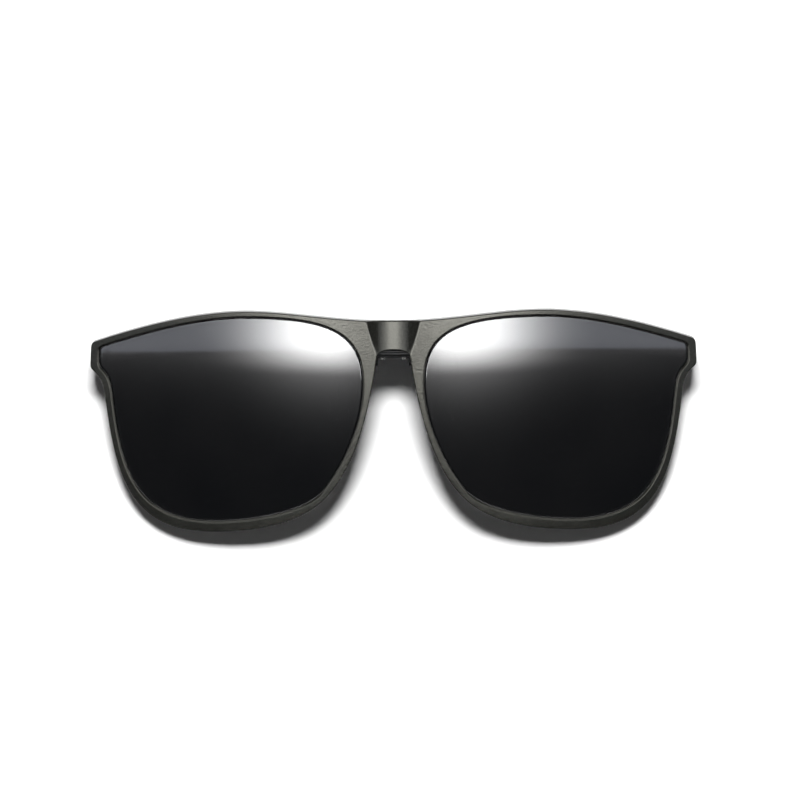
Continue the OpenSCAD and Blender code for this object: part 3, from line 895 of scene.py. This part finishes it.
# Double torsion spring, wound as one wire: leg, coil, loop, coil, leg
SPRING_WIRE_R = 0.19
COIL_R = 1.25 - SPRING_WIRE_R
COIL_IN = 1.9 + SPRING_WIRE_R
COIL_OUT = 3.4 - SPRING_WIRE_R
LEG = Vector((2.2, 0.33))  # end of an outer leg from the jaw pin, in y and z
LOOP = Vector((2.9, -2.13))
EXTRA_TURNS = 2
COIL_STEPS = 90
LOOP_BEND = 0.45  # how far before and after the loop's corners it bends
CORNER_STEPS = 5


def tangent_angle(p, sign):
    """Angle on the coil of the point whose tangent runs through p."""
    return math.atan2(p.y, p.x) + sign * math.acos(COIL_R / p.length)


def half_spring():
    """One leg and coil, on the side x > 0, from the leg's end to the loop's corner."""
    start = tangent_angle(LEG, -1)
    end = tangent_angle(LOOP, 1) - 2 * math.pi * (EXTRA_TURNS + 1)
    path = [(COIL_OUT, LEG.x, LEG.y)]
    for k in range(COIL_STEPS + 1):
        a = start + (end - start) * k / COIL_STEPS
        x = COIL_OUT + (COIL_IN - COIL_OUT) * k / COIL_STEPS
        path.append((x, COIL_R * math.cos(a), COIL_R * math.sin(a)))
    corner = Vector((COIL_IN, *LOOP))
    before = Vector(path[-1])
    turn_in = corner + (before - corner).normalized() * LOOP_BEND
    path.append(tuple(turn_in))
    turn_out = corner - Vector((LOOP_BEND, 0, 0))
    for k in range(1, CORNER_STEPS):
        t = k / CORNER_STEPS
        path.append(tuple((1 - t) ** 2 * turn_in + 2 * t * (1 - t) * corner + t * t * turn_out))
    path.append(tuple(turn_out))
    return [Vector(p) for p in path]


right_half = half_spring()
left_half = [Vector((-p.x, p.y, p.z)) for p in reversed(right_half)]
spring = tube("jaw_spring_wound", [p + JAW_AT for p in right_half + left_half], SPRING_WIRE_R, 14)
piece(spring, None, SPRING_STEEL, ["jaw_spring"])
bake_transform(spring)

# ---- Prongs: a bent wire and its silicone sleeve ----
BEND_R = 1
WIRE_GAP = 0.2  # between a wire's inner end and the middle
SLEEVE_R = 1.1
SLEEVE_OVER = 0.8
BELOW_BEND = 0.1
SLEEVE_GAP = 0.01  # between a wire and its sleeve
PRONG_LOW = -1
FRONT_PRONG_X = 14.5
REAR_PRONG_X = 10
FRONT_DROP = CURL[0] - PRONG_LOW - SLEEVE_OVER - SLEEVE_R
REAR_DROP = FRONT_DROP - 0.5


def prong_wire(name, side, reach, drop, at):
    """Out from the middle along x, round one bend and straight down."""
    path = [(WIRE_GAP, 0), (reach / 2, 0)] + arc((reach - BEND_R, -BEND_R), BEND_R, 90, 0, 12)
    path += [(reach, -(BEND_R + drop) / 2), (reach, -drop)]
    return tube(name, [(side * x, at[0] + y, at[1]) for x, y in path], WIRE_R, 24)


def sleeve(name, side, reach, drop, at):
    """A sleeve over the end of a wire: closed and round below, with a soft lip above."""
    low = -drop - SLEEVE_OVER
    length = drop + SLEEVE_OVER - BEND_R - BELOW_BEND
    inner = WIRE_R + SLEEVE_GAP
    turns = [math.radians(a) for a in (75, 60, 45, 30, 15, 0)]
    ball = [(0, -SLEEVE_R)] + [(SLEEVE_R * math.cos(a), -SLEEVE_R * math.sin(a)) for a in turns]
    lip = [(SLEEVE_R, length * 0.5), (SLEEVE_R - 0.03, length - 0.5), (SLEEVE_R - 0.1, length - 0.15),
           (SLEEVE_R - 0.22, length), (inner + 0.12, length), (inner, length - 0.1)]
    bore = [(inner, length * 0.5), (inner, SLEEVE_OVER - 0.4), (inner * 0.6, SLEEVE_OVER - 0.6),
            (0, SLEEVE_OVER - 0.65)]
    return revolve(name, ball + lip + bore, (side * reach, at[0] + low, at[1]), (0, 1, 0), 32)


REAR_CURL = (0.2, 2.15)  # the lever's rolled edge, level with the table
PRONGS = [("front", "clip", FRONT_PRONG_X, FRONT_DROP, CURL, WORN),
          ("rear", "rear_jaw", REAR_PRONG_X, REAR_DROP, REAR_CURL, LEVEL)]
for side, sign in (("left", 1), ("right", -1)):
    for end, body, reach, drop, at, place in PRONGS:
        wire = prong_wire(f"{end}_arm_{side}_wire", sign, reach, drop, at)
        piece(wire, body, BLACK_STEEL, [f"{end}_arm_{side}"], place)
        tip = sleeve(f"{end}_tip_{side}_sleeve", sign, reach, drop, at)
        piece(tip, body, SILICONE, [f"{end}_tip_{side}"], place)

# ---- Rear lever and its thumb pad, level with the table ----
PAD_T = 1.2
LEVER_T = 0.7
LEVER_TOP = 20.6  # its upper end, as worn
LEVER_END = (LEVER_TOP - JAW_AT.y) / math.cos(REST_TILT)
LEVER_EAR_R = 1.4
LEVER_FOLD = 0.75
LEVER_CORNERS = [0.2, 0.2, 1.6, 1.6]
PAD_HALF = 4.6


def rear_lever():
    """Stamped lever: a plate with two ears on the jaw pin and a rolled edge for the rear wires."""
    mid = PAD_T + LEVER_T / 2
    ear = [(LEVER_EAR_R + 0.6, PAD_T), (LEVER_EAR_R - 0.03, PIN_UP - 0.2)]
    ear += arc((0, PIN_UP), LEVER_EAR_R, 0, 180, 20)
    ear += [(-LEVER_EAR_R + 0.03, PIN_UP - 0.2), (REAR_CURL[0] - CURL_R + 0.1, PAD_T)]
    channel = prism("channel", u_section(LEVER_HALF, PAD_T, PIN_UP + 3, LEVER_T, LEVER_FOLD), "y", -3, 3)
    ears = combine("ears", [channel], keeps=[prism("keep", ear, "x", -KEEP_REACH, KEEP_REACH)])
    path = [(LEVER_END - 3, mid, 1), (REAR_CURL[0] + 1.5, mid, 1), (REAR_CURL[0] + 0.9, mid, 0.9)]
    path += [(*p, CURL_THIN) for p in arc(REAR_CURL, CURL_R - CURL_THIN * LEVER_T / 2, -50, -330, 32)]
    flat = rounded(rectangle(LEVER_HALF, REAR_CURL[0] + 1.2, LEVER_END), LEVER_CORNERS)
    plate = prism("plate", flat, "z", PAD_T, PAD_T + LEVER_T)
    curl = prism("curl", sheet_outline(path, LEVER_T / 2), "x", -LEVER_HALF, LEVER_HALF)
    return combine("rear_lever_stamped", [plate, ears, curl], [hole_x("jaw", (0, PIN_UP), BORE_R)],
                   bevel=STAMPED_BEVEL)


piece(rear_lever(), "rear_jaw", BLACK_STEEL, ["rear_lever"], LEVEL)

RIBS = 5
RIB_W = 0.5
RIB_D = 0.3
PAD_BEVEL = 0.1
PAD_CORNERS = [0.5, 0.5, 1.2, 1.2]
PAD_LOW = REAR_CURL[0] - CURL_R
PAD_HIGH = LEVER_END - 0.4


def lever_pad():
    """Rubber pad with rounded corners and grooves between its grip ribs."""
    pad = prism("pad", rounded(rectangle(PAD_HALF, PAD_LOW, PAD_HIGH), PAD_CORNERS), "z", 0, PAD_T)
    grooves = []
    for i in range(1, RIBS + 1):
        y = PAD_LOW + (PAD_HIGH - PAD_LOW) * i / (RIBS + 1)
        groove = [(y - RIB_W / 2, -MARGIN)] + arc((y, 0), RIB_W / 2, 180, 0, 8) + [(y + RIB_W / 2, -MARGIN)]
        groove = [(u, v if v < 0 else v * RIB_D / (RIB_W / 2)) for u, v in groove]
        grooves.append(prism("groove", groove, "x", -PAD_HALF - 1, PAD_HALF + 1))
    return combine("lever_pad_ribbed", [pad], grooves, bevel=PAD_BEVEL)


piece(lever_pad(), "rear_jaw", RUBBER, ["lever_pad"], LEVEL)

# ---- Floor, light and camera ----
FLOOR_REACH = 3.0


def sheet(name, half, near, far, material):
    """A flat rectangle that is part of the stage."""
    mesh = bpy.data.meshes.new(name)
    mesh.from_pydata([(u, v, 0) for u, v in rectangle(half, near, far)], [], [(0, 1, 2, 3)])
    obj = bpy.data.objects.new(name, mesh)
    obj.data.materials.append(material)
    bpy.context.scene.collection.objects.link(obj)
    return obj


WHITE = new_material("white_table", (0.82, 0.82, 0.82), 0.9, Specular_IOR_Level=0.1)[0]
sheet("floor", FLOOR_REACH, -FLOOR_REACH, FLOOR_REACH, WHITE)


def softbox(name, size, at, aim, power, colour=(1, 1, 1)):
    """An area light, aimed at a point, that the camera itself doesn't see."""
    light = bpy.data.lights.new(name, "AREA")
    light.shape = "RECTANGLE"
    light.size, light.size_y = size
    light.energy = power
    light.color = colour
    lamp = bpy.data.objects.new(name, light)
    lamp.location = at
    lamp.rotation_euler = (Vector(aim) - Vector(at)).to_track_quat("-Z", "Y").to_euler()
    lamp.visible_camera = False
    bpy.context.scene.collection.objects.link(lamp)
    return lamp


TABLE = (0, 0, 0)
key = softbox("key", (0.42, 0.24), (0, 0.72, 0.8), TABLE, 24.5)
key.visible_glossy = False  # the strips and the bank below give the reflections
# Low strips round the far half of the table, which only edges and chamfers mirror
strips = [softbox("left_strip", (0.9, 0.25), (-0.95, 0.05, 0.25), TABLE, 4.5),
          softbox("right_strip", (0.9, 0.25), (0.95, 0.05, 0.25), TABLE, 4.5),
          softbox("far_strip", (1.3, 0.25), (0, 0.95, 0.36), TABLE, 5.6)]
for strip in strips:
    strip.visible_diffuse = False

# A bank of two lamps behind one diffuser, over and in front of the object: the lenses
# mirror its front edge. Its brightness falls away to the sides and just past that edge.
BANK_UP = 0.8
BANK_HALF = 0.5
BANK_NEAR = -0.32
BANK_FAR = 0.1
LAMP_X = 0.082
LAMP_IN = 0.06  # how far a lamp's light spreads towards the middle, and outwards
LAMP_OUT = 0.08
BANK_EDGE = (-0.2415, -0.222)  # where the lamps' light fades in, from front to back
SKIRT_EDGE = (-0.2284, -0.2266)  # the diffuser's own edge on the middle line
SKIRT_BOW = 0.07  # how far that edge bows forwards, times the distance from the middle squared
SKIRT_COLOUR = (0.88, 0.95, 1.12, 1)
LAMP_POWER = 30
SKIRT_POWER = 1.65
SPILL_POWER = 5
SPILL_AT = -0.235
SPILL_FADE = 0.0105
SPILL_EVEN = 0.15  # share of the spill that is the same all along the edge
HOOD_EDGE = (-0.16, -0.1)  # a third, wider lamp further back, which the scoop mirrors
HOOD_WIDTH = 0.28
HOOD_POWER = 15


class Sums:
    """Small arithmetic of material nodes."""

    def __init__(self, mat):
        self.nodes, self.links = mat.node_tree.nodes, mat.node_tree.links

    def put(self, node, value, at):
        if isinstance(value, (int, float)):
            node.inputs[at].default_value = value
        else:
            self.links.new(value, node.inputs[at])

    def do(self, operation, a, b=0.0):
        node = self.nodes.new("ShaderNodeMath")
        node.operation = operation
        self.put(node, a, 0)
        self.put(node, b, 1)
        return node.outputs[0]

    def bell(self, value):
        """1 at zero, falling away on both sides."""
        return self.do("EXPONENT", self.do("MULTIPLY", self.do("MULTIPLY", value, value), -1.0))

    def fade(self, value, span):
        """0 before a span and 1 after it, smooth in between."""
        node = self.nodes.new("ShaderNodeMapRange")
        node.interpolation_type = "SMOOTHSTEP"
        node.inputs["From Min"].default_value, node.inputs["From Max"].default_value = span
        self.links.new(value, node.inputs["Value"])
        return node.outputs["Result"]


def bank_material():
    mat = bpy.data.materials.new("diffuser")
    mat.use_nodes = True
    sums = Sums(mat)
    nodes, links = sums.nodes, sums.links
    nodes.clear()
    place = nodes.new("ShaderNodeTexCoord")
    split = nodes.new("ShaderNodeSeparateXYZ")
    links.new(place.outputs["Object"], split.inputs["Vector"])
    x, y = split.outputs["X"], split.outputs["Y"]
    aside = sums.do("SUBTRACT", sums.do("ABSOLUTE", x), LAMP_X)
    inwards = sums.do("DIVIDE", sums.do("MINIMUM", aside, 0.0), LAMP_IN)
    outwards = sums.do("DIVIDE", sums.do("MAXIMUM", aside, 0.0), LAMP_OUT)
    lamps = sums.bell(sums.do("ADD", inwards, outwards))
    hood = sums.fade(y, HOOD_EDGE)
    lit = sums.do("MULTIPLY", sums.do("MULTIPLY", lamps, LAMP_POWER), sums.fade(y, BANK_EDGE))
    lit = sums.do("MULTIPLY", lit, sums.do("SUBTRACT", 1.0, hood))
    hood = sums.do("MULTIPLY", hood, sums.bell(sums.do("DIVIDE", x, HOOD_WIDTH)))
    lit = sums.do("ADD", lit, sums.do("MULTIPLY", hood, HOOD_POWER))
    spill = sums.do("EXPONENT", sums.do("DIVIDE", sums.do("SUBTRACT", y, SPILL_AT), SPILL_FADE))
    spill = sums.do("MULTIPLY", sums.do("MINIMUM", spill, 1.0), SPILL_POWER)
    spill = sums.do("MULTIPLY", spill, sums.do("ADD", sums.do("MULTIPLY", lamps, 1 - SPILL_EVEN), SPILL_EVEN))
    bowed = sums.do("ADD", y, sums.do("MULTIPLY", sums.do("MULTIPLY", x, x), SKIRT_BOW))
    skirt = sums.do("MULTIPLY", sums.fade(bowed, SKIRT_EDGE), SKIRT_POWER)
    both = nodes.new("ShaderNodeAddShader")
    glows = [(sums.do("ADD", lit, spill), (1, 1, 1, 1)), (skirt, SKIRT_COLOUR)]
    for i, (strength, colour) in enumerate(glows):
        glow = nodes.new("ShaderNodeEmission")
        glow.inputs["Color"].default_value = colour
        links.new(strength, glow.inputs["Strength"])
        links.new(glow.outputs["Emission"], both.inputs[i])
    out = nodes.new("ShaderNodeOutputMaterial")
    links.new(both.outputs["Shader"], out.inputs["Surface"])
    return mat


bank = sheet("light_bank", BANK_HALF, BANK_NEAR, BANK_FAR, bank_material())
bank.location.z = BANK_UP
bank.visible_camera = False
bank.visible_shadow = False
bank.visible_diffuse = False  # only for reflections

# The room: dark overhead and pale near the horizon
ROOM_HIGH = 0.04
ROOM_LOW = 0.4
ROOM_FADE = (0.02, 0.4)
world = bpy.data.worlds.new("studio")
world.use_nodes = True
room = Sums(world)
place = room.nodes.new("ShaderNodeTexCoord")
split = room.nodes.new("ShaderNodeSeparateXYZ")
room.links.new(place.outputs["Generated"], split.inputs["Vector"])
height = room.fade(split.outputs["Z"], ROOM_FADE)
strength = room.do("ADD", room.do("MULTIPLY", height, ROOM_HIGH - ROOM_LOW), ROOM_LOW)
backdrop = room.nodes["Background"]
backdrop.inputs["Color"].default_value = (1, 1, 1, 1)
room.links.new(strength, backdrop.inputs["Strength"])
bpy.context.scene.world = world

VIEW_WIDTH = 0.1912  # width of the view at the object
CAMERA_UP = 0.9
OBJECT_UP = 0.009  # the height at which the view has that width
VIEW_CENTRE = (0.0015, 0.00482)
VIEW_TURN = math.radians(-0.4)
camera = bpy.data.objects.new("camera", bpy.data.cameras.new("camera"))
camera.data.lens = camera.data.sensor_width * CAMERA_UP / VIEW_WIDTH
camera.location = (*VIEW_CENTRE, CAMERA_UP + OBJECT_UP)
camera.rotation_euler.z = VIEW_TURN
camera.data.clip_start = 0.05
bpy.context.scene.view_settings.view_transform = "Standard"
bpy.context.scene.collection.objects.link(camera)
bpy.context.scene.camera = camera
